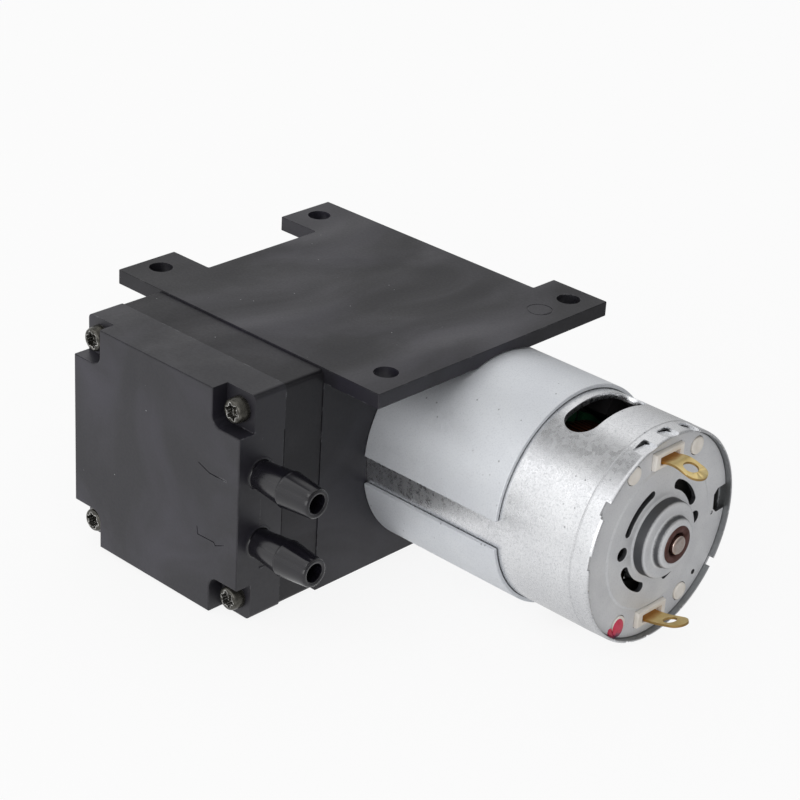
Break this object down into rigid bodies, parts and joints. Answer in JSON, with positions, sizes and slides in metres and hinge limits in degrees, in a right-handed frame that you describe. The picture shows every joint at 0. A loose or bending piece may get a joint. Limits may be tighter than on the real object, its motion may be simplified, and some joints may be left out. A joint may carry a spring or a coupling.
{
  "type": "diaphragm vacuum pump",
  "caption": "Small diaphragm vacuum pump: brushed motor with flux ring, black moulded crankcase with mounting plate, square head with hose nozzles.",
  "frame": {"origin": "on the mounting face, straight above the shaft's axis in the middle of the head's width", "axes": "+X along the motor shaft towards the terminals, -Y towards the pump head, +Z out of the mounting face"},
  "size_m": [0.102, 0.0717, 0.0398],
  "materials": {
    "black_nylon": "injection moulded, fine satin grain",
    "rubber_black": "moulded rubber, matt",
    "screw_steel": "black zinc plated steel",
    "can_steel": "drawn galvanised steel, lightly speckled",
    "ring_steel": "rolled steel strip, smooth bright zinc",
    "plate_steel": "stamped steel, bluish satin",
    "ferrite": "ground ceramic ferrite",
    "sintered_bronze": "sintered, oil soaked",
    "white_nylon": "injection moulded, satin",
    "terminal_brass": "stamped, satin",
    "spring_copper": "stamped beryllium copper strip",
    "carbon": "pressed carbon and copper powder",
    "shaft_steel": "ground steel",
    "core_steel": "stacked stampings",
    "green_fibre": "punched insulating board",
    "magnet_wire": "enamelled copper wire",
    "commutator_copper": "turned copper",
    "turned_brass": "turned",
    "bearing_steel": "ground steel",
    "rod_acetal": "injection moulded, satin",
    "disc_aluminium": "turned"
  },
  "bodies": {
    "pump_body": {"crankcase": "black_nylon", "crankcase_cap": "black_nylon", "valve_body": "black_nylon", "inlet_valve": "rubber_black", "outlet_valve": "rubber_black", "port_gasket": "rubber_black", "head_cover": "black_nylon", "head_screws": "screw_steel", "motor_screws": "screw_steel", "diaphragm": "rubber_black", "motor_can": "can_steel", "flux_ring": "ring_steel", "magnets": "ferrite", "front_bearing": "sintered_bronze", "rear_bearing": "sintered_bronze", "end_plate": "plate_steel", "brush_carrier": "white_nylon", "terminal_upper": "terminal_brass", "terminal_lower": "terminal_brass", "brushes": "carbon", "brush_arms": "spring_copper"},
    "rotor": {"shaft": "shaft_steel", "armature_core": "core_steel", "armature_insulators": "green_fibre", "windings": "magnet_wire", "shaft_spacers": "white_nylon", "commutator": "commutator_copper", "eccentric": "turned_brass", "eccentric_set_screw": "screw_steel", "bearing_inner_ring": "bearing_steel"},
    "rod": {"bearing_outer_ring": "bearing_steel", "bearing_balls": "bearing_steel", "connecting_rod": "rod_acetal", "clamp_disc": "disc_aluminium", "diaphragm_screw": "screw_steel"}
  },
  "joints": [
    {"name": "rotor_spin", "type": "hinge", "parent": "pump_body", "child": "rotor", "pos_m": [0, 0, -0.0204], "axis": [1, 0, 0], "continuous": true, "deforming": ["diaphragm"]},
    {"name": "rod_swivel", "type": "hinge", "parent": "rotor", "child": "rod", "pos_m": [0, 0.002, -0.0204], "axis": [1, 0, 0], "continuous": true}
  ],
  "couplings": [
    {"joint": "rod_swivel", "follows": "rotor_spin", "ratio": -1}
  ]
}
